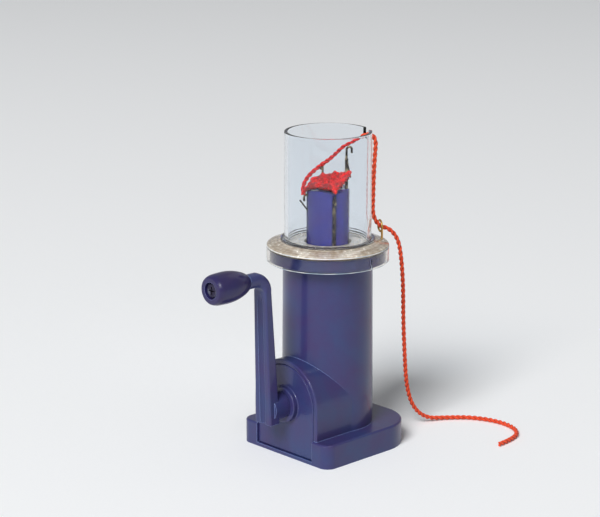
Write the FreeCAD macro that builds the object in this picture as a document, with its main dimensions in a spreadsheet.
import FreeCAD, Part
import math
import os
import Sketcher

from FreeCAD import Placement, Rotation, Vector

# Hand-cranked i-cord mill with four latch needles.
#
# Millimetres, +Z up. The origin is on the axis of the needle cylinder, in the plane that the
# foot stands on. The crank points to -X, and the yarn guide stands between +X and -Y.
# A crank shaft turns a bevel pinion, the pinion turns a ring gear on the needle cylinder, and
# two cam sleeves, which stand still, lift and lower the needles as they are carried round.

SIZES = {
    # body moulding
    "body_height": 91.4,
    "barrel_top_radius": 20.0,
    "barrel_foot_radius": 20.55,
    "barrel_wall": 2.2,
    "collar_radius": 25.8,
    "collar_depth": 5.0,
    "foot_height": 11.0,
    "foot_wall": 3.0,
    "foot_deck": 2.4,
    "foot_crank_reach": 26.98,
    "foot_far_reach": 30.73,
    "foot_half_width": 27.83,
    "foot_crank_corner": 4.84,
    "foot_far_corner": 18.47,
    "foot_edge_round": 0.9,
    "case_setback": 1.0,
    "case_radius": 20.03,
    "case_wall": 2.2,
    "case_sill": 1.6,
    "case_edge_round": 0.5,
    "crank_axis_height": 24.3,
    # bottom plate and its screws
    "plate_recess": 0.4,
    "plate_thickness": 2.0,
    "plate_gap": 0.2,
    "outlet_clearance": 0.4,
    "outlet_rim": 2.4,
    "pillar_radius": 2.8,
    "pillar_crank_inset": 6.78,
    "pillar_crank_side_inset": 6.53,
    "pillar_far_inset": 10.13,
    "pillar_far_side_inset": 9.63,
    "screw_radius": 1.4,
    "screw_head_radius": 2.8,
    "screw_head_height": 1.4,
    "screw_length": 7.0,
    # cover of the gear case, and the crank bearing in it
    "cover_gap": 0.15,
    "cover_thickness": 2.0,
    "cover_rim_depth": 4.0,
    "cover_rim_wall": 1.5,
    "boss_radius": 8.2,
    "boss_height": 2.6,
    "inner_boss_radius": 7.0,
    "bush_radius": 4.5,
    "bush_length": 9.2,
    "shaft_radius": 2.5,
    "shaft_flat": 1.9,
    "shaft_cap": 0.9,
    "shaft_clearance": 0.06,
    "running_gap": 0.3,
    # clear guard
    "tube_radius": 19.3,
    "tube_wall": 1.5,
    "tube_top": 143.57,
    "flange_thickness": 1.63,
    "flange_round": 1.0,
    "flange_rise": 2.0,
    "guard_floor_thickness": 2.9,
    "guard_floor_clearance": 0.9,
    "skirt_wall": 1.3,
    "skirt_clearance": 0.15,
    "skirt_depth": 5.66,
    "tube_step_width": 1.7,
    "tube_step_height": 0.9,
    "notch_width": 7.0,
    "notch_depth": 4.0,
    "notch_angle": -25.5,
    "slit_width": 0.6,
    # needle cylinder
    "cylinder_radius": 9.5,
    "cylinder_bore": 6.6,
    "cylinder_top": 118.5,
    "crown_rise": 1.5,
    "spigot_radius": 8.5,
    "spigot_top": 31.0,
    "bearing_clearance": 0.08,
    "bearing_wall": 3.0,
    "slot_side_gap": 0.2,
    "slot_base": 50.0,
    # bevel gears
    "gear_module": 1.0,
    "gear_teeth": 30.0,
    "pinion_teeth": 12.0,
    "gear_face": 4.8,
    "gear_backlash": 0.16,
    "tooth_shift": 0.3,
    "gear_depth": 6.0,
    "gear_hub_radius": 12.5,
    "pinion_hub_radius": 4.6,
    "pinion_length": 8.2,
    # cam sleeves
    "cam_bore": 11.2,
    "cam_wall": 2.2,
    "cam_seat_height": 44.0,
    "cam_seat_depth": 2.0,
    "cam_flange": 2.0,
    "cam_seat_lip": 0.9,
    "cam_low": 58.0,
    "cam_lift": 20.5,
    "cam_track": 5.6,
    # needles and latches
    "needle_angle": -27.5,
    "needle_width": 1.2,
    "needle_depth": 1.2,
    "needle_inset": 1.0,
    "needle_length": 58.0,
    "needle_tail": 3.0,
    "hook_wire": 1.0,
    "hook_radius": 1.2,
    "hook_drop": 1.6,
    "butt_height": 2.0,
    "latch_below_hook": 8.0,
    "latch_length": 6.6,
    "latch_width": 0.9,
    "latch_thickness": 0.45,
    "latch_slot": 0.6,
    "rivet_radius": 0.22,
    "rivet_clearance": 0.03,
    # crank arm, knob and knob screw
    "crank_throw": 59.9,
    "arm_foot_drop": 6.4,
    "elbow_rise": 5.7,
    "arm_hub_length": 4.82,
    "arm_thickness": 5.8,
    "arm_lean": 1.55,
    "arm_inner_lean": 3.8,
    "arm_foot_half_width": 4.9,
    "arm_head_half_width": 4.0,
    "arm_edge_round": 0.7,
    "arm_hub_radius": 6.0,
    "channel_width": 3.5,
    "channel_depth": 1.2,
    "channel_fade": 5.0,
    "neck_radius": 3.25,
    "neck_flat": 0.25,
    "neck_length": 9.1,
    "knob_length": 20.3,
    "knob_radius": 6.95,
    "knob_rim_round": 0.7,
    "knob_bore": 2.27,
    "knob_clearance": 0.07,
    "knob_recess_radius": 3.7,
    "knob_recess_depth": 2.1,
    "knob_screw_radius": 1.1,
    "knob_screw_length": 9.0,
    "knob_screw_head": 2.8,
    "knob_screw_height": 1.2,
    "screw_lift": 0.1,
    # wire guide and soft goods
    "guide_wire_radius": 0.45,
    "guide_loop_radius": 2.5,
    "guide_inset": 2.65,
    "guide_height": 3.6,
    "guide_socket_depth": 1.1,
    "cord_gap": 0.9,
    "crown_gap": 0.7,
    "yarn_radius": 1.05,
}

# Needles in the order in which the cylinder carries them past the yarn, each with its place
# (quarter turns from the first) and the angle that its latch leans out from straight up.
NEEDLES = {"c": (0, 168.0), "b": (1, 150.0), "a": (2, 36.0), "d": (3, 160.0)}

doc = FreeCAD.newDocument("icord_mill")
sheet = doc.addObject("Spreadsheet::Sheet", "Sizes")
for row, (alias, number) in enumerate(SIZES.items(), start=1):
    sheet.set("A%d" % row, alias)
    sheet.set("B%d" % row, str(number))
    sheet.setAlias("B%d" % row, alias)
doc.recompute()


class Size:
    """A number together with the sheet expression that gives it."""

    def __init__(self, value, text):
        self.value = float(value)
        self.text = text

    def __add__(self, other):
        other = as_size(other)
        return Size(self.value + other.value, "(%s + %s)" % (self.text, other.text))

    def __sub__(self, other):
        other = as_size(other)
        return Size(self.value - other.value, "(%s - %s)" % (self.text, other.text))

    def __mul__(self, other):
        other = as_size(other)
        return Size(self.value * other.value, "(%s * %s)" % (self.text, other.text))

    def __truediv__(self, other):
        other = as_size(other)
        return Size(self.value / other.value, "(%s / %s)" % (self.text, other.text))

    def __radd__(self, other):
        return as_size(other) + self

    def __rsub__(self, other):
        return as_size(other) - self

    def __rmul__(self, other):
        return as_size(other) * self

    def __neg__(self):
        return Size(-self.value, "(0 - %s)" % self.text)


def as_size(number):
    """Give a plain number the same form as a sheet size."""
    if isinstance(number, Size):
        return number
    return Size(number, "(%r)" % float(number))


class SheetSizes:
    """Every alias of the sheet, read back from it as a Size."""

    def __getattr__(self, alias):
        return Size(getattr(sheet, alias), "Sizes." + alias)


S = SheetSizes()


def bind(obj, **properties):
    """Drive properties of a document object from the sheet."""
    for name, size in properties.items():
        obj.setExpression(name.replace("__", "."), as_size(size).text)


# ---------------------------------------------------------------- Part helpers

def rod(name, radius, start, end, axis="Z", beside=0.0, above=0.0):
    """A cylinder along X or Z. For an X rod, beside is its Y and above its Z."""
    obj = doc.addObject("Part::Cylinder", name)
    bind(obj, Radius=radius, Height=end - start)
    if axis == "X":
        obj.Placement = Placement(Vector(), Rotation(Vector(0, 1, 0), 90))
        bind(obj, Placement__Base__x=start, Placement__Base__y=beside, Placement__Base__z=above)
    else:
        bind(obj, Placement__Base__z=start)
    return obj


def block(name, low, high):
    """A box between two corners given as three sizes each."""
    obj = doc.addObject("Part::Box", name)
    bind(obj, Length=high[0] - low[0], Width=high[1] - low[1], Height=high[2] - low[2])
    bind(obj, Placement__Base__x=low[0], Placement__Base__y=low[1], Placement__Base__z=low[2])
    return obj


def cut(name, base, tool):
    obj = doc.addObject("Part::Cut", name)
    obj.Base, obj.Tool = base, tool
    return obj


def fuse(name, *shapes):
    obj = doc.addObject("Part::MultiFuse", name)
    obj.Shapes = list(shapes)
    return obj


def turned(name, base, angle):
    """The same shape turned about the Z axis by an angle in degrees."""
    obj = doc.addObject("Part::Compound", name)
    obj.Links = [base]
    obj.Placement = Placement(Vector(), Rotation(Vector(0, 0, 1), as_size(angle).value))
    bind(obj, Placement__Rotation__Angle=angle)
    return obj


def feature(name, shape):
    """A sub-part whose shape comes from Part's own functions, with sizes read from the sheet."""
    obj = doc.addObject("Part::Feature", name)
    obj.Shape = shape
    obj.Placement = shape.Placement
    return obj


# ---------------------------------------------------------- PartDesign helpers

def new_body(name):
    body = doc.addObject("PartDesign::Body", name)
    body.Label = name
    return body


def new_sketch(body, name, role, offset=None):
    """A sketch on one of the body's origin planes, moved along the plane's normal by offset."""
    sketch = body.newObject("Sketcher::SketchObject", name)
    plane = [item for item in body.Origin.OriginFeatures if item.Role == role][0]
    sketch.AttachmentSupport = [(plane, "")]
    sketch.MapMode = "FlatFace"
    if offset is not None:
        sketch.setExpression("AttachmentOffset.Base.z", as_size(offset).text)
    return sketch


def hold(sketch, kind, target, size):
    """Add one dimension to a sketch and drive it from the sheet."""
    size = as_size(size)
    index = sketch.addConstraint(Sketcher.Constraint(kind, *target, size.value))
    sketch.setExpression("Constraints[%d]" % index, size.text)


def hold_point(sketch, edge, end, across, up):
    """Place one end of an edge by its two distances from the sketch's origin."""
    hold(sketch, "DistanceX", (-1, 1, edge, end), across)
    hold(sketch, "DistanceY", (-1, 1, edge, end), up)


def polygon(sketch, points):
    """A closed outline of straight lines through points given as pairs of sizes."""
    points = [(as_size(across), as_size(up)) for across, up in points]
    places = [Vector(across.value, up.value, 0) for across, up in points]
    count = len(places)
    for i in range(count):
        sketch.addGeometry(Part.LineSegment(places[i], places[(i + 1) % count]), False)
    for i in range(count):
        sketch.addConstraint(Sketcher.Constraint("Coincident", i, 2, (i + 1) % count, 1))
    for i, (across, up) in enumerate(points):
        hold_point(sketch, i, 1, across, up)


def circles(sketch, centres, radius):
    """Circles of one radius about centres given as pairs of sizes."""
    for across, up in centres:
        across, up, size = as_size(across), as_size(up), as_size(radius)
        centre = Vector(across.value, up.value, 0)
        edge = sketch.addGeometry(Part.Circle(centre, Vector(0, 0, 1), size.value), False)
        hold(sketch, "Radius", (edge,), size)
        hold_point(sketch, edge, 3, across, up)


def rounded_outline(sketch, back, front, half, back_corner, front_corner):
    """A rectangle from -back to front and -half to half, with its corners rounded."""
    b, f, w = as_size(back).value, as_size(front).value, as_size(half).value
    rb, rf = as_size(back_corner).value, as_size(front_corner).value

    def line(x0, y0, x1, y1):
        sketch.addGeometry(Part.LineSegment(Vector(x0, y0, 0), Vector(x1, y1, 0)), False)

    def corner(x, y, radius, start):
        circle = Part.Circle(Vector(x, y, 0), Vector(0, 0, 1), radius)
        arc = Part.ArcOfCircle(circle, math.radians(start), math.radians(start + 90))
        sketch.addGeometry(arc, False)

    line(-b + rb, -w, f - rf, -w)
    corner(f - rf, -w + rf, rf, 270)
    line(f, -w + rf, f, w - rf)
    corner(f - rf, w - rf, rf, 0)
    line(f - rf, w, -b + rb, w)
    corner(-b + rb, w - rb, rb, 90)
    line(-b, w - rb, -b, -w + rb)
    corner(-b + rb, -w + rb, rb, 180)
    for i in range(8):
        sketch.addConstraint(Sketcher.Constraint("Tangent", i, 2, (i + 1) % 8, 1))
    for i in (0, 4):
        sketch.addConstraint(Sketcher.Constraint("Horizontal", i))
        sketch.addConstraint(Sketcher.Constraint("Vertical", i + 2))
    for i, radius in ((1, front_corner), (3, front_corner), (5, back_corner), (7, back_corner)):
        hold(sketch, "Radius", (i,), radius)
    hold(sketch, "DistanceY", (-1, 1, 0, 1), -as_size(half))
    hold(sketch, "DistanceY", (-1, 1, 4, 1), half)
    hold(sketch, "DistanceX", (-1, 1, 2, 1), front)
    hold(sketch, "DistanceX", (-1, 1, 6, 1), -as_size(back))


def tombstone(sketch, radius, base, axis):
    """Two upright sides on a flat base, closed by a half circle about the given height."""
    r, z0, zc = as_size(radius).value, as_size(base).value, as_size(axis).value
    for start, end in (((-r, z0), (r, z0)), ((r, z0), (r, zc))):
        sketch.addGeometry(Part.LineSegment(Vector(*start, 0), Vector(*end, 0)), False)
    circle = Part.Circle(Vector(0, zc, 0), Vector(0, 0, 1), r)
    sketch.addGeometry(Part.ArcOfCircle(circle, 0, math.pi), False)
    sketch.addGeometry(Part.LineSegment(Vector(-r, zc, 0), Vector(-r, z0, 0)), False)
    for i in range(4):
        sketch.addConstraint(Sketcher.Constraint("Coincident", i, 2, (i + 1) % 4, 1))
    sketch.addConstraint(Sketcher.Constraint("Horizontal", 0))
    sketch.addConstraint(Sketcher.Constraint("Vertical", 1))
    sketch.addConstraint(Sketcher.Constraint("Vertical", 3))
    hold_point(sketch, 2, 3, 0, axis)
    hold(sketch, "Radius", (2,), radius)
    hold(sketch, "DistanceY", (-1, 1, 2, 1), axis)
    hold(sketch, "DistanceY", (-1, 1, 2, 2), axis)
    hold(sketch, "DistanceY", (-1, 1, 0, 1), base)


def extrude(body, kind, name, sketch, length, back=False):
    """Pad or Pocket a sketch. A Pad goes along the sketch's normal, a Pocket against it."""
    obj = body.newObject("PartDesign::" + kind, name)
    obj.Profile = sketch
    obj.Reversed = back
    bind(obj, Length=length)
    doc.recompute()
    return obj


def revolve(body, kind, name, sketch, axis="V_Axis"):
    """Revolution or Groove of a sketch through a full turn."""
    obj = body.newObject("PartDesign::" + kind, name)
    obj.Profile = sketch
    obj.ReferenceAxis = (sketch, [axis])
    obj.Angle = 360
    doc.recompute()
    return obj


def dress(body, kind, name, base, size, wanted):
    """Fillet or Chamfer the edges of a feature for which wanted(edge) is true."""
    edges = ["Edge%d" % i for i, edge in enumerate(base.Shape.Edges, start=1) if wanted(edge)]
    obj = body.newObject("PartDesign::" + kind, name)
    obj.Base = (base, edges)
    bind(obj, **{"Radius" if kind == "Fillet" else "Size": size})
    doc.recompute()
    return obj


def at_height(edge, height):
    """True for an edge that lies wholly at one height."""
    box = edge.BoundBox
    return abs(box.ZMin - height.value) < 1e-4 and abs(box.ZMax - height.value) < 1e-4


def at_x(edge, place):
    """True for an edge that lies wholly in one plane across X."""
    box = edge.BoundBox
    return abs(box.XMin - place.value) < 1e-4 and abs(box.XMax - place.value) < 1e-4


def round_edge(edge, radius):
    """True for a circular edge of one radius."""
    curve = edge.Curve
    return isinstance(curve, Part.Circle) and abs(curve.Radius - radius.value) < 1e-4


# ------------------------------------------------------------- shared places

plate_top = S.plate_recess + S.plate_thickness
barrel_bore = S.barrel_top_radius - S.barrel_wall
case_bore = S.case_radius - S.case_wall
tube_bore = S.tube_radius - S.tube_wall
tube_step_radius = S.tube_radius + S.tube_step_width
case_face = -S.foot_crank_reach + S.case_setback
cover_back = case_face + S.cover_thickness
boss_face = case_face - S.boss_height
bush_inner_end = boss_face + S.bush_length
hub_face = boss_face - S.running_gap
pinion_back = bush_inner_end + S.running_gap
bearing_bore = S.spigot_radius + S.bearing_clearance
bearing_radius = bearing_bore + S.bearing_wall
outlet_radius = S.cylinder_bore + S.outlet_clearance
cam_radius = S.cam_bore + S.cam_wall
cam_deck_radius = barrel_bore + S.cam_seat_lip
deck_bore = S.cylinder_radius + S.running_gap
butt_reach = S.cam_bore - S.running_gap
needle_axis = S.cylinder_radius - S.needle_inset
needle_back = needle_axis - S.needle_depth / 2
slot_floor = needle_back - S.running_gap
slot_width = S.needle_width + S.slot_side_gap * 2
pitch_gear = S.gear_module * S.gear_teeth / 2
pitch_pinion = S.gear_module * S.pinion_teeth / 2
gear_underside = S.crank_axis_height - pitch_pinion - S.gear_depth
flange_radius = S.collar_radius + S.skirt_clearance + S.skirt_wall
flange_top = S.body_height + S.flange_thickness
guide_reach = flange_radius - S.guide_inset
guide_foot = flange_top - S.guide_socket_depth
arm_inner = hub_face - S.arm_hub_length
arm_outer = arm_inner - S.arm_thickness
shaft_outer_end = arm_outer + S.channel_depth + S.shaft_cap
neck_end = arm_outer - S.neck_length
knob_axis_height = S.crank_axis_height + S.crank_throw
knob_inner_end = neck_end - S.running_gap
knob_outer_end = knob_inner_end - S.knob_length
spigot_end = knob_outer_end + S.knob_recess_depth - S.screw_lift
pillar_crank_x = S.pillar_crank_inset - S.foot_crank_reach
pillar_crank_y = S.foot_half_width - S.pillar_crank_side_inset
pillar_far_x = S.foot_far_reach - S.pillar_far_inset
pillar_far_y = S.foot_half_width - S.pillar_far_side_inset
screw_places = [(pillar_crank_x, pillar_crank_y), (pillar_crank_x, -pillar_crank_y),
                (pillar_far_x, pillar_far_y), (pillar_far_x, -pillar_far_y)]


# ------------------------------------------------------------ body moulding

def make_housing():
    """Barrel with its top collar, half-round gear case and hollow foot, in one moulding."""
    body = new_body("housing")
    outline = new_sketch(body, "foot_outline", "XY_Plane")
    rounded_outline(outline, S.foot_crank_reach, S.foot_far_reach, S.foot_half_width,
                    S.foot_crank_corner, S.foot_far_corner)
    foot = extrude(body, "Pad", "foot_pad", outline, S.foot_height)
    dress(body, "Fillet", "foot_round", foot, S.foot_edge_round,
          lambda edge: at_height(edge, S.foot_height))

    barrel = new_sketch(body, "barrel_profile", "XZ_Plane")
    neck = S.body_height - S.collar_depth
    start = S.foot_height - S.foot_deck
    polygon(barrel, [(0, start), (S.barrel_foot_radius, start), (S.barrel_foot_radius, S.foot_height),
                     (S.barrel_top_radius, neck), (S.collar_radius, neck),
                     (S.collar_radius, S.body_height), (0, S.body_height)])
    revolve(body, "Revolution", "barrel", barrel)

    case = new_sketch(body, "case_outline", "YZ_Plane")
    tombstone(case, S.case_radius, S.case_sill, S.crank_axis_height)
    extrude(body, "Pad", "gear_case", case, -case_face, back=True)

    bore = new_sketch(body, "bore_profile", "XZ_Plane")
    seat_low = S.cam_seat_height - S.cam_seat_depth
    deck_seat = S.body_height - S.cam_flange
    ledge = cam_radius + S.cam_wall
    polygon(bore, [(0, -1), (barrel_bore, -1), (barrel_bore, seat_low - S.cam_seat_depth),
                   (ledge, seat_low), (ledge, S.cam_seat_height), (barrel_bore, S.cam_seat_height),
                   (barrel_bore, deck_seat), (cam_deck_radius, deck_seat),
                   (cam_deck_radius, S.body_height + 1), (0, S.body_height + 1)])
    revolve(body, "Groove", "barrel_bore", bore)

    tunnel = new_sketch(body, "tunnel_outline", "YZ_Plane")
    tombstone(tunnel, case_bore, S.case_sill, S.crank_axis_height)
    extrude(body, "Pocket", "case_tunnel", tunnel, S.foot_crank_reach + 1)

    hollow = new_sketch(body, "foot_hollow_outline", "XY_Plane")
    rounded_outline(hollow, S.foot_crank_reach - S.foot_wall, S.foot_far_reach - S.foot_wall,
                    S.foot_half_width - S.foot_wall, S.foot_crank_corner - S.foot_wall,
                    S.foot_far_corner - S.foot_wall)
    extrude(body, "Pocket", "foot_hollow", hollow, S.foot_height - S.foot_deck, back=True)

    pillars = new_sketch(body, "pillar_circles", "XY_Plane", plate_top)
    circles(pillars, screw_places, S.pillar_radius)
    extrude(body, "Pad", "screw_pillars", pillars, S.foot_height - S.foot_deck / 2 - plate_top)
    holes = new_sketch(body, "pillar_hole_circles", "XY_Plane", plate_top)
    circles(holes, screw_places, S.screw_radius)
    last = extrude(body, "Pocket", "pillar_holes", holes, S.screw_length - 1, back=True)

    dress(body, "Fillet", "case_edge", last, S.case_edge_round,
          lambda edge: at_x(edge, case_face) and (round_edge(edge, S.case_radius)
                                             or round_edge(edge, case_bore)
                                             or edge.BoundBox.ZMax > S.foot_height.value + 1))
    return body


def make_case_cover():
    """Plate that closes the gear case, with a rim inside and the crank's boss on both sides."""
    body = new_body("case_cover")
    radius = case_bore - S.cover_gap
    plate = new_sketch(body, "plate_outline", "YZ_Plane", case_face)
    tombstone(plate, radius, S.case_sill + S.cover_gap, S.crank_axis_height)
    extrude(body, "Pad", "plate", plate, S.cover_thickness)

    rim = new_sketch(body, "rim_outline", "YZ_Plane", cover_back)
    rim_base = plate_top + S.plate_gap
    tombstone(rim, radius, rim_base, S.crank_axis_height)
    extrude(body, "Pad", "rim", rim, S.cover_rim_depth)
    inside = new_sketch(body, "rim_hollow_outline", "YZ_Plane", cover_back + S.cover_rim_depth)
    tombstone(inside, radius - S.cover_rim_wall, rim_base - 1, S.crank_axis_height)
    extrude(body, "Pocket", "rim_hollow", inside, S.cover_rim_depth)

    centre = [(0, S.crank_axis_height)]
    outer = new_sketch(body, "boss_circle", "YZ_Plane", boss_face)
    circles(outer, centre, S.boss_radius)
    boss = extrude(body, "Pad", "boss", outer, S.boss_height)
    dress(body, "Fillet", "boss_round", boss, S.case_edge_round,
          lambda edge: round_edge(edge, S.boss_radius))
    inner = new_sketch(body, "inner_boss_circle", "YZ_Plane", cover_back)
    circles(inner, centre, S.inner_boss_radius)
    extrude(body, "Pad", "inner_boss", inner, bush_inner_end - cover_back)
    bore = new_sketch(body, "bush_circle", "YZ_Plane", bush_inner_end + 1)
    circles(bore, centre, S.bush_radius)
    last = extrude(body, "Pocket", "bush_bore", bore, S.bush_length + 2)
    dress(body, "Fillet", "cover_edge", last, S.case_edge_round,
          lambda edge: at_x(edge, case_face) and not round_edge(edge, S.boss_radius))
    return body


def make_base_plate():
    """Bottom plate inside the foot, with the cord outlet and the cylinder's lower bearing."""
    body = new_body("base_plate")
    inset = S.foot_wall + S.plate_gap
    outline = new_sketch(body, "plate_outline", "XY_Plane", S.plate_recess)
    rounded_outline(outline, S.foot_crank_reach - inset, S.foot_far_reach - inset,
                    S.foot_half_width - inset, S.foot_crank_corner - inset,
                    S.foot_far_corner - inset)
    extrude(body, "Pad", "plate", outline, S.plate_thickness)
    collar = new_sketch(body, "collar_circle", "XY_Plane", plate_top)
    circles(collar, [(0, 0)], bearing_radius)
    extrude(body, "Pad", "bearing_collar", collar, gear_underside - S.running_gap - plate_top)
    bearing = new_sketch(body, "bearing_circle", "XY_Plane", gear_underside)
    circles(bearing, [(0, 0)], bearing_bore)
    extrude(body, "Pocket", "bearing_bore", bearing, gear_underside - plate_top)
    rim = new_sketch(body, "outlet_rim_circle", "XY_Plane")
    circles(rim, [(0, 0)], outlet_radius + S.outlet_rim)
    extrude(body, "Pad", "outlet_rim", rim, plate_top)
    outlet = new_sketch(body, "outlet_circle", "XY_Plane", plate_top + 1)
    circles(outlet, [(0, 0)], outlet_radius)
    extrude(body, "Pocket", "cord_outlet", outlet, plate_top + 2)
    holes = new_sketch(body, "screw_circles", "XY_Plane", plate_top + 1)
    circles(holes, screw_places, S.screw_radius + S.cover_gap)
    last = extrude(body, "Pocket", "screw_holes", holes, S.plate_thickness + 2)
    hole_radius = S.screw_radius + S.cover_gap
    dress(body, "Chamfer", "countersinks", last, S.screw_head_radius - S.screw_radius,
          lambda edge: round_edge(edge, hole_radius) and at_height(edge, S.plate_recess))
    return body


def cross_screw(name, head, shank, head_height, length, countersunk):
    """A screw along +Z with the top of its head at zero and a cross recess in the head."""
    thread = rod(name + "_shank", shank, as_size(0), length)
    if countersunk:
        crown = doc.addObject("Part::Cone", name + "_head")
        bind(crown, Radius1=head, Radius2=shank, Height=head_height)
    else:
        crown = rod(name + "_head", head, as_size(0), head_height)
    whole = fuse(name + "_blank", thread, crown)
    arm, slit, depth = head * 0.62, head * 0.12, head_height * 0.6
    first = block(name + "_recess_a", (-arm, -slit, as_size(-1)), (arm, slit, depth))
    second = block(name + "_recess_b", (-slit, -arm, as_size(-1)), (slit, arm, depth))
    return cut(name, whole, fuse(name + "_recess", first, second))


def make_base_screws():
    """Four countersunk screws, driven up into the pillars of the foot."""
    screws = []
    for number, (across, along) in enumerate(screw_places, start=1):
        screw = cross_screw("base_screw_%d" % number, S.screw_head_radius, S.screw_radius,
                            S.screw_head_height, S.screw_length, True)
        bind(screw, Placement__Base__x=across, Placement__Base__y=along,
             Placement__Base__z=S.plate_recess + 0.05)
        screws.append(screw)
    group = doc.addObject("Part::Compound", "base_screws")
    group.Links = screws
    return group


# -------------------------------------------------------------- clear guard

def make_clear_cover():
    """Guard tube with a floor, a sloping flange and a skirt that snaps over the collar."""
    body = new_body("clear_cover")
    skirt_bottom = S.body_height - S.skirt_depth
    skirt_bore = flange_radius - S.skirt_wall
    profile = new_sketch(body, "guard_profile", "XZ_Plane")
    flange_foot = flange_top + S.flange_rise
    step_top = flange_foot + S.tube_step_height
    floor_bore = S.cylinder_radius + S.guard_floor_clearance
    floor_top = S.body_height + S.guard_floor_thickness
    polygon(profile, [(floor_bore, S.body_height), (skirt_bore, S.body_height),
                      (skirt_bore, skirt_bottom), (flange_radius, skirt_bottom),
                      (flange_radius, flange_top), (tube_step_radius, flange_foot),
                      (tube_step_radius, step_top), (S.tube_radius, step_top),
                      (S.tube_radius, S.tube_top), (tube_bore, S.tube_top),
                      (tube_bore, floor_top), (floor_bore, floor_top)])
    guard = revolve(body, "Revolution", "guard", profile)
    rounded = dress(body, "Fillet", "flange_round", guard, S.flange_round,
                    lambda edge: at_height(edge, flange_top) and round_edge(edge, flange_radius))
    step = S.tube_step_height * 0.45
    dress(body, "Fillet", "step_round", rounded, step,
          lambda edge: round_edge(edge, tube_step_radius)
          or (at_height(edge, step_top) and round_edge(edge, S.tube_radius)))

    slit = new_sketch(body, "slit_outline", "XZ_Plane")
    half = S.slit_width / 2
    polygon(slit, [(-half, skirt_bottom - 1), (half, skirt_bottom - 1),
                   (half, S.body_height), (-half, S.body_height)])
    slits = body.newObject("PartDesign::Pocket", "skirt_slits")
    slits.Profile = slit
    slits.Midplane = True
    bind(slits, Length=flange_radius * 2 + 2)
    doc.recompute()

    floor = S.tube_top - S.notch_depth
    half = S.notch_width / 2
    notch = block("notch_block", (tube_bore - 2, -half, floor),
                  (S.tube_radius + 2, half, S.tube_top + 1))
    socket = rod("guide_socket", S.guide_wire_radius, guide_foot, flange_top + S.flange_rise)
    bind(socket, Placement__Base__x=guide_reach, Placement__Base__y=-S.guide_loop_radius)
    cuts = turned("guard_cuts_turned", fuse("guard_cuts", notch, socket), S.notch_angle)
    return cut("guard_cut", body, cuts)


# ------------------------------------------- needle cylinder and bevel gears

def make_needle_cylinder():
    """Tube for the finished cord, with four needle slots and an arched top between them."""
    body = new_body("needle_cylinder")
    profile = new_sketch(body, "cylinder_profile", "XZ_Plane")
    foot = plate_top + S.running_gap
    polygon(profile, [(S.cylinder_bore, foot), (S.spigot_radius, foot),
                      (S.spigot_radius, S.spigot_top), (S.cylinder_radius, S.spigot_top + 1),
                      (S.cylinder_radius, S.cylinder_top), (S.cylinder_bore, S.cylinder_top)])
    revolve(body, "Revolution", "cylinder_tube", profile)
    slot = new_sketch(body, "slot_outline", "YZ_Plane", slot_floor)
    half = slot_width / 2
    polygon(slot, [(-half, S.slot_base), (half, S.slot_base),
                   (half, S.cylinder_top + 1), (-half, S.cylinder_top + 1)])
    first = extrude(body, "Pocket", "needle_slot", slot, S.cylinder_radius, back=True)
    slots = body.newObject("PartDesign::PolarPattern", "needle_slots")
    slots.Originals = [first]
    slots.Axis = (profile, ["V_Axis"])
    slots.Angle = 360
    slots.Occurrences = len(NEEDLES)
    body.Tip = slots
    doc.recompute()

    # each quarter between two slots is arched by a saddle along its middle
    reach = S.cylinder_radius * math.sqrt(0.5)
    saddle_radius = (reach * reach + S.crown_rise * S.crown_rise) / (S.crown_rise * 2)
    over = 3.0
    trims = []
    for quarter in range(len(NEEDLES)):
        wedge = rod("crown_wedge_%d" % quarter, S.cylinder_radius + 1,
                    S.cylinder_top - S.crown_rise * 2, S.cylinder_top + over)
        wedge.Angle = 90
        saddle = rod("crown_saddle_%d" % quarter, saddle_radius, as_size(-1),
                     S.cylinder_radius * 2, "X", above=S.cylinder_top - saddle_radius)
        lying = turned("crown_saddle_turned_%d" % quarter, saddle, 45)
        trim = cut("crown_trim_%d" % quarter, wedge, lying)
        trims.append(turned("crown_trim_turned_%d" % quarter, trim, 90.0 * quarter))
    crowned = cut("crowned_cylinder", body, fuse("crown_trims", *trims))
    return turned("needle_cylinder_turned", crowned, S.needle_angle)


def bevel_tooth_gaps(teeth, pitch_radius, mate_radius, shift, first_gap):
    """Solids that cut the tooth gaps of a bevel gear whose axis is +Z and whose apex is at zero.

    The flanks are involutes on the unrolled back cone, carried along rays from the apex.
    """
    module = S.gear_module.value
    cone = math.atan2(pitch_radius, mate_radius)
    cone_length = math.hypot(pitch_radius, mate_radius)
    unrolled = pitch_radius / math.cos(cone)
    base = unrolled * math.cos(math.radians(20))
    back_apex = mate_radius + pitch_radius * math.tan(cone)
    root = unrolled - (1.25 - shift) * module
    tip = unrolled + (1.3 + shift) * module
    thickness = math.pi * module / 2 + 2 * shift * math.tan(math.radians(20)) * module
    half_tooth = (thickness - S.gear_backlash.value / 2) / 2 / unrolled

    def involute(radius):
        ratio = min(1.0, base / radius)
        return math.tan(math.acos(ratio)) - math.acos(ratio)

    half_pitch = math.pi * module / 2 / unrolled
    flank = []
    steps = 7
    for i in range(steps + 1):
        radius = root + (tip - root) * i / steps
        flank.append((radius, half_tooth + involute(unrolled) - involute(radius) - half_pitch))
    outline = flank + [(radius, -angle) for radius, angle in reversed(flank)]
    middle = Vector(math.sin(cone), 0, math.cos(cone))
    solids = []
    for number in range(teeth):
        turn = Rotation(Vector(0, 0, 1), first_gap + 360.0 / teeth * number)
        rings = []
        for share in (0.45, 1.25):
            ring = []
            for radius, angle in outline:
                around = angle / math.cos(cone)
                across, along = radius * math.cos(cone), back_apex - radius * math.sin(cone)
                ray = Vector(across * math.cos(around), across * math.sin(around), along)
                point = ray * (share * cone_length / ray.dot(middle))
                ring.append(turn.multVec(point))
            ring.append(ring[0])
            rings.append(Part.makePolygon(ring))
        solids.append(Part.makeLoft(rings, True, True))
    return solids


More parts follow.
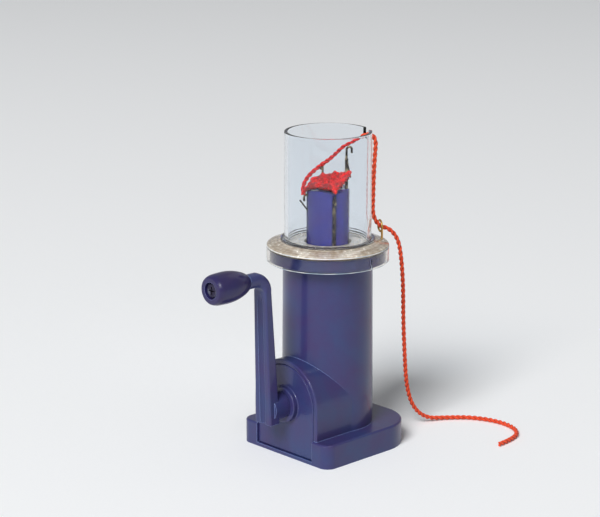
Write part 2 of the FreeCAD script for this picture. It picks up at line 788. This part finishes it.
def gear_blank(points):
    """A turned blank about Z from pairs of radius and height."""
    ring = [Vector(radius, 0, height) for radius, height in points]
    face = Part.Face(Part.makePolygon(ring + [ring[0]]))
    return face.revolve(Vector(), Vector(0, 0, 1), 360)


def bevel_corners(pitch_radius, mate_radius, shift):
    """Tip and root of a tooth at its large and its small end, as radius and height."""
    module = S.gear_module.value
    cone = math.atan2(pitch_radius, mate_radius)
    small = 1 - S.gear_face.value / math.hypot(pitch_radius, mate_radius)
    corners = {}
    for name, rise in (("tip", (1 + shift) * module), ("root", -(1.25 - shift) * module)):
        radius = pitch_radius + rise * math.cos(cone)
        height = mate_radius - rise * math.sin(cone)
        corners[name] = (radius, height)
        corners["small_" + name] = (radius * small, height * small)
    return corners


def make_ring_gear():
    """Bevel gear that faces up, pressed on the spigot of the needle cylinder."""
    radius, mate = pitch_gear.value, pitch_pinion.value
    shift = -S.tooth_shift.value
    corner = bevel_corners(radius, mate, shift)
    apex = S.crank_axis_height.value
    bottom = apex - gear_underside.value
    bore = S.spigot_radius.value
    hub = S.gear_hub_radius.value
    shoulder = corner["root"][1] + (radius - hub) / 2
    blank = gear_blank([(bore, bottom), (hub, bottom), (hub + 1, shoulder), corner["root"],
                        corner["tip"], corner["small_tip"], corner["small_root"],
                        (bore, corner["small_root"][1])])
    teeth = round(S.gear_teeth.value)
    gear = blank.cut(bevel_tooth_gaps(teeth, radius, mate, shift, 180.0))
    gear.rotate(Vector(), Vector(1, 0, 0), 180)
    gear.translate(Vector(0, 0, apex))
    return feature("ring_gear_teeth", gear)


def shaft_section(start, end, name):
    """The crank shaft between two places on X, with its driving flat."""
    round_part = rod(name + "_round", S.shaft_radius, start, end, "X", above=S.crank_axis_height)
    wide = S.shaft_radius + 1
    top = block(name + "_flat", (start, -wide, S.crank_axis_height + S.shaft_flat),
                (end, wide, S.crank_axis_height + wide))
    return cut(name, round_part, top)


def make_bevel_pinion():
    """Small bevel gear on the inner end of the crank shaft, with a hub and a D bore."""
    radius, mate = pitch_pinion.value, pitch_gear.value
    shift = S.tooth_shift.value
    corner = bevel_corners(radius, mate, shift)
    back = -pinion_back.value
    hub = S.pinion_hub_radius.value
    blank = gear_blank([(0, corner["small_root"][1]), corner["small_root"], corner["small_tip"],
                        corner["tip"], corner["root"], (hub, corner["root"][1] + 0.3),
                        (hub, back), (0, back)])
    teeth = round(S.pinion_teeth.value)
    gear = blank.cut(bevel_tooth_gaps(teeth, radius, mate, shift, 180.0 / teeth))
    gear.rotate(Vector(), Vector(0, 1, 0), -90)
    gear.translate(Vector(0, 0, S.crank_axis_height.value))
    solid = feature("pinion_teeth_solid", gear)
    return cut("pinion_bored", solid, shaft_section(pinion_back - 1, as_size(0), "pinion_bore"))


def make_crank_shaft():
    """Steel shaft, round in its bush and with a flat in the arm and in the pinion."""
    middle = rod("shaft_middle", S.shaft_radius, hub_face, pinion_back, "X",
                 above=S.crank_axis_height)
    outer = shaft_section(shaft_outer_end, hub_face, "shaft_outer")
    inner = shaft_section(pinion_back, pinion_back + S.pinion_length, "shaft_inner")
    return fuse("shaft_whole", middle, outer, inner)


def make_shaft_bush():
    """Plain bearing of the crank shaft, pressed into the case cover."""
    sleeve = rod("bush_outside", S.bush_radius, boss_face, bush_inner_end, "X",
                 above=S.crank_axis_height)
    bore = rod("bush_inside", S.shaft_radius + S.shaft_clearance, boss_face - 1,
               bush_inner_end + 1, "X", above=S.crank_axis_height)
    return cut("bush_sleeve", sleeve, bore)


# ----------------------------------------------------------------- cam sleeves

def cam_height(angle):
    """Height of the needle butts above their lowest place, in a direction given in degrees.

    Low until the needle nears the yarn, up in a smooth rise, a short rest, a long fall.
    """
    along = (angle - (S.needle_angle.value - 92.5)) % 360
    rise, rest, fall = 85.0, 10.0, 190.0
    if along < rise:
        share = along / rise
    elif along < rise + rest:
        share = 1.0
    elif along < rise + rest + fall:
        share = 1 - (along - rise - rest) / fall
    else:
        share = 0.0
    return S.cam_lift.value * (1 - math.cos(math.pi * share)) / 2


def cam_sleeve(flat, offset):
    """A tube wall between a flat end and an end that follows the cam at the given offset."""
    inner, outer = S.cam_bore.value, cam_radius.value
    steps = 72
    angles = [math.radians(360 / steps * i) for i in range(steps)]
    rims, rings = [], []
    for radius in (inner, outer):
        points = [Vector(radius * math.cos(a), radius * math.sin(a),
                         S.cam_low.value + offset + cam_height(math.degrees(a))) for a in angles]
        curve = Part.BSplineCurve()
        curve.interpolate(Points=points, PeriodicFlag=True, Parameters=angles + [2 * math.pi])
        rims.append(curve.toShape())
        rings.append(Part.Circle(Vector(0, 0, flat), Vector(0, 0, 1), radius).toShape())
    faces = [Part.makeRuledSurface(rings[i], rims[i]) for i in range(2)]
    faces.append(Part.makeRuledSurface(rims[0], rims[1]))
    faces.append(Part.makeFace([Part.Wire([rings[1]]), Part.Wire([rings[0]])],
                               "Part::FaceMakerBullseye"))
    shell = Part.makeShell(faces)
    shell.sewShape()
    solid = Part.makeSolid(shell)
    if solid.Volume < 0:
        solid.reverse()
    return solid


def ring_solid(outer, inner, low, high):
    """A flat ring between two heights."""
    disc = Part.makeCylinder(outer, high - low, Vector(0, 0, low))
    return disc.cut(Part.makeCylinder(inner, high - low + 2, Vector(0, 0, low - 1)))


def make_cams():
    """Two sleeves that stand still in the barrel, with the needle track between them."""
    half = S.cam_track.value / 2
    seat, flange = S.cam_seat_height.value, S.cam_flange.value
    gap = S.cover_gap.value
    low = cam_sleeve(seat, -half)
    rim = cam_radius.value
    low = low.fuse(ring_solid(barrel_bore.value - gap, rim - 0.5, seat, seat + flange))
    top = S.body_height.value
    high = cam_sleeve(top, half)
    high = high.fuse(ring_solid(cam_deck_radius.value - gap, rim - 0.5, top - flange, top))
    high = high.fuse(ring_solid(S.cam_bore.value + 0.5, deck_bore.value, top - flange, top))
    return feature("lower_cam_solid", low), feature("upper_cam_solid", high)


# ---------------------------------------------------------- needles and latches

def pipe(edges, start, direction, radius):
    """A round wire along tangent edges."""
    ring = Part.Wire([Part.Circle(start, direction, radius).toShape()])
    return Part.Wire(edges).makePipeShell([ring], True, True)


def needle_place(letter):
    """Direction of a needle in degrees, and the height of the top of its hook at rest."""
    angle = S.needle_angle.value + 90 * NEEDLES[letter][0]
    height = S.cam_low.value + cam_height(angle) + S.needle_length.value
    return angle, height


def make_needle(letter):
    """A stem with a butt at its foot, a slot for the latch and a hook that faces outwards."""
    angle, top = needle_place(letter)
    axis, wide, deep = needle_axis.value, S.needle_width.value, S.needle_depth.value
    wire, bend, drop = S.hook_wire.value / 2, S.hook_radius.value, S.hook_drop.value
    butt = top - S.needle_length.value
    pivot = top - S.latch_below_hook.value
    shoulder = pivot + S.latch_below_hook.value * 0.3
    foot = butt - S.needle_tail.value
    stem = Part.makeBox(deep, wide, shoulder - foot, Vector(axis - deep / 2, -wide / 2, foot))
    high = S.butt_height.value
    lug = Part.makeBox(butt_reach.value - axis, wide, high,
                       Vector(axis, -wide / 2, butt - high / 2))
    centre = top - wire - bend
    start = Vector(axis, 0, shoulder - 0.5)
    crest, over = Vector(axis + bend, 0, centre + bend), Vector(axis + 2 * bend, 0, centre)
    edges = [Part.LineSegment(start, Vector(axis, 0, centre)).toShape(),
             Part.Arc(Vector(axis, 0, centre), crest, over).toShape(),
             Part.LineSegment(over, over - Vector(0, 0, drop)).toShape()]
    hook = pipe(edges, start, Vector(0, 0, 1), wire)
    slot = S.latch_slot.value
    cheek = Part.makeBox(deep, slot, S.latch_below_hook.value * 0.3 + 4.5,
                         Vector(axis - deep * 0.2, -slot / 2, pivot - 4.0))
    hole = Part.makeCylinder(S.rivet_radius.value, wide + 2,
                             latch_pivot(letter) - Vector(0, wide / 2 + 1, 0), Vector(0, 1, 0))
    needle = stem.fuse([lug, hook]).cut([cheek, hole]).removeSplitter()
    needle.rotate(Vector(), Vector(0, 0, 1), angle)
    return feature("needle_%s_solid" % letter, needle)


def latch_pivot(letter):
    """Rivet centre of a latch before its needle is turned to its place."""
    top = needle_place(letter)[1]
    across = needle_axis.value + S.needle_depth.value / 2 - 0.1
    return Vector(across, 0, top - S.latch_below_hook.value)


def make_latch(letter):
    """A thin tongue on a rivet, with a spoon at its tip."""
    lean = NEEDLES[letter][1]
    pivot = latch_pivot(letter)
    thick, wide = S.latch_thickness.value, S.latch_width.value
    length = S.latch_length.value
    eye = wide / 2
    blade = Part.makeBox(wide * 0.7, thick, length - eye,
                         Vector(-wide * 0.35, -thick / 2, 0))
    root = Part.makeCylinder(eye, thick, Vector(0, -thick / 2, 0), Vector(0, 1, 0))
    spoon = Part.makeSphere(eye * 0.9)
    spoon.translate(Vector(0, 0, length - eye))
    spoon = spoon.common(Part.makeBox(wide, wide, length * 2,
                                      Vector(-wide / 2, -wide / 2, 0)))
    hole = Part.makeCylinder(S.rivet_radius.value + S.rivet_clearance.value, thick + 2,
                             Vector(0, -thick / 2 - 1, 0), Vector(0, 1, 0))
    latch = blade.fuse([root, spoon]).cut(hole).removeSplitter()
    latch.rotate(Vector(), Vector(0, 1, 0), lean)
    latch.translate(pivot)
    latch.rotate(Vector(), Vector(0, 0, 1), needle_place(letter)[0])
    return feature("latch_%s_solid" % letter, latch)


def make_rivet(letter):
    """The pin on which a latch swings, held in both cheeks of its needle."""
    wide = S.needle_width.value
    pin = Part.makeCylinder(S.rivet_radius.value, wide,
                            latch_pivot(letter) - Vector(0, wide / 2, 0), Vector(0, 1, 0))
    pin.rotate(Vector(), Vector(0, 0, 1), needle_place(letter)[0])
    return feature("rivet_%s_solid" % letter, pin)


# ------------------------------------------------------- crank arm and knob

def rounded_section(centre, across, half_across, half_along, corner):
    """A rounded rectangle in the plane of the direction across and the Y axis."""
    along = Vector(0, 1, 0)

    def place(a, b):
        return centre + across * a + along * b

    edges = []
    tip = corner * (1 - math.sqrt(0.5))
    signs = [(1, 1), (-1, 1), (-1, -1), (1, -1)]
    for i, (sa, sb) in enumerate(signs):
        a, b = half_across * sa, half_along * sb
        first, last = place(a, b - corner * sb), place(a - corner * sa, b)
        if i % 2:
            first, last = last, first
        middle = place(a - tip * sa, b - tip * sb)
        edges.append(Part.Arc(first, middle, last).toShape())
        na, nb = signs[(i + 1) % 4]
        following = (place(half_across * na - corner * na, half_along * nb) if i % 2 == 0
                     else place(half_across * na, half_along * nb - corner * nb))
        edges.append(Part.LineSegment(last, following).toShape())
    return Part.Wire(edges)


def make_crank_arm():
    """Tapered arm with a channel in its outer face, a hub, and an elbow that carries the knob."""
    axis, knob_axis = S.crank_axis_height.value, knob_axis_height.value
    low, bend = axis - S.arm_foot_drop.value, knob_axis - S.elbow_rise.value
    outer, inner = arm_outer.value, arm_inner.value
    head_outer, head_inner = outer - S.arm_lean.value, inner - S.arm_inner_lean.value
    foot_half, head_half = S.arm_foot_half_width.value, S.arm_head_half_width.value
    corner = S.arm_edge_round.value
    neck = S.neck_radius.value
    sections = []
    ends = ((low, outer, inner, foot_half), (bend, head_outer, head_inner, head_half))
    for height, a, b, half in ends:
        centre = Vector((a + b) / 2, 0, height)
        sections.append(rounded_section(centre, Vector(1, 0, 0), (b - a) / 2, half, corner))
    arm = Part.makeLoft(sections, True, True)

    # elbow: sections swung about one centre, from the arm's end to the neck
    inside = knob_axis - neck - bend
    pivot = Vector(head_outer - inside, 0, bend)
    start_outer, end_outer = head_inner - pivot.x, inside + 2 * neck
    rings = []
    steps = 4
    for i in range(steps + 1):
        share = i / steps
        angle = math.radians(90 * share)
        across = Vector(math.cos(angle), 0, math.sin(angle))
        far = start_outer + (end_outer - start_outer) * share
        round_by = corner + (neck - S.neck_flat.value - corner) * share
        half = head_half + (neck - head_half) * share
        rings.append(rounded_section(pivot + across * ((inside + far) / 2), across,
                                     (far - inside) / 2, half, round_by))
    elbow = Part.makeLoft(rings, True, False)
    stub_end = neck_end.value
    stub = Part.Face(rings[-1]).extrude(Vector(stub_end - pivot.x, 0, 0))
    stem = Part.makeCylinder(S.knob_bore.value - S.knob_clearance.value,
                             stub_end - spigot_end.value + 1,
                             Vector(stub_end + 1, 0, knob_axis), Vector(-1, 0, 0))
    hub = Part.makeCylinder(S.arm_hub_radius.value, hub_face.value - outer - 2.5,
                            Vector(outer + 2.5, 0, axis), Vector(1, 0, 0))
    whole = arm.fuse([elbow, stub, stem, hub]).removeSplitter()

    # a round channel runs up the leaning outer face from the foot and fades below the elbow
    half, deep, past = S.channel_width.value / 2, S.channel_depth.value, 0.2
    round_by = (half ** 2 + deep ** 2) / (2 * deep)
    fade_start = bend - S.channel_fade.value
    circles = []
    for height, cut_in in ((low - 1, deep), (fade_start, deep), (bend, -past)):
        face = outer - S.arm_lean.value * (height - low) / (bend - low)
        centre = Vector(face + cut_in - round_by, 0, height)
        circles.append(Part.Wire(Part.makeCircle(round_by, centre)))
    channel = Part.makeLoft(circles, True, True)
    screw_hole = Part.makeCylinder(S.knob_screw_radius.value, S.knob_screw_length.value,
                                   Vector(spigot_end.value, 0, knob_axis), Vector(1, 0, 0))
    blank = feature("arm_blank", whole.cut([channel, screw_hole]))
    bore = shaft_section(shaft_outer_end, hub_face + 1, "arm_bore")
    return cut("arm_bored", blank, bore)


def make_knob():
    """Barrel-shaped knob with a bore for the spigot and a recess for the screw's head."""
    length, widest = S.knob_length.value, S.knob_radius.value
    shape = ((0.0, 0.50), (0.05, 0.60), (0.22, 0.815), (0.42, 0.955), (0.6, 1.0),
             (0.8, 0.985), (0.95, 0.915), (1.0, 0.83))
    points = [Vector(widest * share, 0, length * along) for along, share in shape]
    curve = Part.BSplineCurve()
    curve.interpolate(points)
    bore, recess = S.knob_bore.value, S.knob_recess_radius.value
    floor = length - S.knob_recess_depth.value
    inside = [points[-1], Vector(recess, 0, length), Vector(recess, 0, floor),
              Vector(bore, 0, floor), Vector(bore, 0, 0), points[0]]
    edges = [curve.toShape()] + Part.makePolygon(inside).Edges
    knob = Part.Face(Part.Wire(edges)).revolve(Vector(), Vector(0, 0, 1), 360)
    rim = [edge for edge in knob.Edges if edge.BoundBox.ZMin > length - 0.01
           and edge.BoundBox.XMax > recess + 1]
    knob = knob.makeFillet(S.knob_rim_round.value, rim)
    knob.rotate(Vector(), Vector(0, 1, 0), -90)
    knob.translate(Vector(knob_inner_end.value, 0, knob_axis_height.value))
    return feature("knob_solid", knob)


def make_knob_screw():
    """Screw with a cross recess that keeps the knob on its spigot."""
    screw = cross_screw("knob_screw", S.knob_screw_head, S.knob_screw_radius,
                        S.knob_screw_height, S.knob_screw_length - 1 + S.knob_screw_height, False)
    screw.Placement = Placement(Vector(), Rotation(Vector(0, 1, 0), 90))
    bind(screw, Placement__Base__x=spigot_end - S.knob_screw_height,
         Placement__Base__z=knob_axis_height)
    return screw


# ------------------------------------------------------- yarn guide and yarn

def make_yarn_guide():
    """Brass wire, set in the flange, that rises and turns into an open eye for the yarn."""
    radius, eye = S.guide_wire_radius.value, S.guide_loop_radius.value
    reach = guide_reach.value
    centre = Vector(reach, 0, flange_top.value + S.guide_height.value + eye)

    def on_eye(degrees):
        angle = math.radians(degrees)
        return centre + Vector(0, math.cos(angle), math.sin(angle)) * eye

    start = Vector(reach, -eye, guide_foot.value)
    edges = [Part.LineSegment(start, on_eye(180)).toShape(),
             Part.Arc(on_eye(180), on_eye(90), on_eye(0)).toShape(),
             Part.Arc(on_eye(0), on_eye(-60), on_eye(-120)).toShape()]
    wire = pipe(edges, start, Vector(0, 0, 1), radius)
    wire.rotate(Vector(), Vector(0, 0, 1), S.notch_angle.value)
    return feature("guide_wire", wire)


def make_knitted_cord():
    """The finished cord inside the needle cylinder, widening to the needles above its top."""
    body = new_body("knitted_cord")
    profile = new_sketch(body, "cord_profile", "XZ_Plane")
    crown_low = S.cylinder_top - S.crown_rise
    crown_base = S.cylinder_top + S.running_gap + 0.4
    cord_radius = S.cylinder_bore - S.cord_gap
    crown_radius = needle_back - S.crown_gap
    polygon(profile, [(0, plate_top + 1), (cord_radius, plate_top + 1),
                      (cord_radius, crown_low), (cord_radius + 0.4, crown_base),
                      (crown_radius, crown_base + 1.6), (crown_radius, crown_base + 3.4),
                      (0, crown_base + 3.4)])
    revolve(body, "Revolution", "cord_solid", profile)
    return body


# Working yarn: radial distance, sideways distance and height of each point of its route, in the
# direction of the rim's notch. It comes out over the notch, falls to the eye of the guide, goes
# through it and down to the surface that the mill stands on.
YARN_ROUTE = [
    (15.6, 0.0, 140.1), (19.2, 0.0, 141.8), (22.4, 0.1, 138.4), (21.9, 0.2, 131.5),
    (21.4, 0.1, 122.5), (21.2, 0.1, 112.8), (21.0, 0.1, 104.0), (24.2, 0.0, 98.9),
    (29.2, 0.2, 97.4), (33.6, 0.9, 92.2), (35.6, 1.8, 83.5), (36.9, 2.3, 70.0),
    (37.6, 3.4, 53.0), (38.7, 3.9, 36.0), (40.4, 5.6, 20.5), (44.5, 7.6, 9.0),
    (52.0, 9.6, 2.2), (62.0, 10.4, 1.2), (74.0, 7.0, 1.2), (84.0, -2.5, 1.2),
    (87.5, -14.5, 1.2), (82.5, -25.5, 1.2), (71.5, -31.0, 1.2),
]


def make_yarn():
    """A tube along the yarn's route: straight runs joined by arcs as large as the runs allow."""
    radius = S.yarn_radius.value
    turn = Rotation(Vector(0, 0, 1), S.notch_angle.value)
    points = [turn.multVec(Vector(*place)) for place in YARN_ROUTE]
    edges, here, bends = [], points[0], []
    for before, corner, after in zip(points, points[1:], points[2:]):
        back, ahead = before - corner, after - corner
        half_turn = (math.pi - back.getAngle(ahead)) / 2
        reach = 0.45 * min(back.Length, ahead.Length)
        bend = reach / math.tan(half_turn)
        bends.append(bend)
        back.normalize()
        ahead.normalize()
        first, last = corner + back * reach, corner + ahead * reach
        inward = (back + ahead).normalize()
        middle = corner + inward * (bend / math.cos(half_turn) - bend)
        edges.append(Part.LineSegment(here, first).toShape())
        edges.append(Part.Arc(first, middle, last).toShape())
        here = last
    edges.append(Part.LineSegment(here, points[-1]).toShape())
    tube = pipe(edges, points[0], points[1] - points[0], radius)
    length = sum(edge.Length for edge in edges)
    print("yarn radii", " ".join("%.1f" % bend for bend in bends))
    print("yarn length %.1f volume %.1f section times length %.1f"
          % (length, tube.Volume, math.pi * radius ** 2 * length))
    return feature("yarn_tube", tube)


# ------------------------------------------------------------------- the part

def make_part():
    """Build every sub-part and give each its node name."""
    pieces = {
        "housing": make_housing(),
        "case_cover": make_case_cover(),
        "base_plate": make_base_plate(),
        "base_screws": make_base_screws(),
        "clear_cover": make_clear_cover(),
        "needle_cylinder": make_needle_cylinder(),
        "ring_gear": make_ring_gear(),
        "bevel_pinion": make_bevel_pinion(),
        "crank_shaft": make_crank_shaft(),
        "shaft_bush": make_shaft_bush(),
        "crank_arm": make_crank_arm(),
        "knob": make_knob(),
        "knob_screw": make_knob_screw(),
        "yarn_guide": make_yarn_guide(),
        "knitted_cord": make_knitted_cord(),
        "yarn": make_yarn(),
    }
    pieces["lower_cam"], pieces["upper_cam"] = make_cams()
    for letter in NEEDLES:
        pieces["needle_" + letter] = make_needle(letter)
        pieces["latch_" + letter] = make_latch(letter)
        pieces["rivet_" + letter] = make_rivet(letter)
    return pieces


def main():
    pieces = make_part()
    doc.recompute()
    failed = [obj.Name for obj in doc.Objects
              if "Invalid" in obj.State or "Error" in obj.State]
    for node, obj in pieces.items():
        obj.Label = node
        shape = obj.Shape
        if shape.isNull() or not shape.isValid() or not shape.Solids:
            failed.append(node)
    if failed:
        raise RuntimeError("not built: " + ", ".join(failed))
    os.makedirs("parts", exist_ok=True)
    for node, obj in pieces.items():
        obj.Shape.exportStep(os.path.join("parts", node + ".step"))
        print("%-16s %d solids, %.1f mm3" % (node, len(obj.Shape.Solids), obj.Shape.Volume))


main()
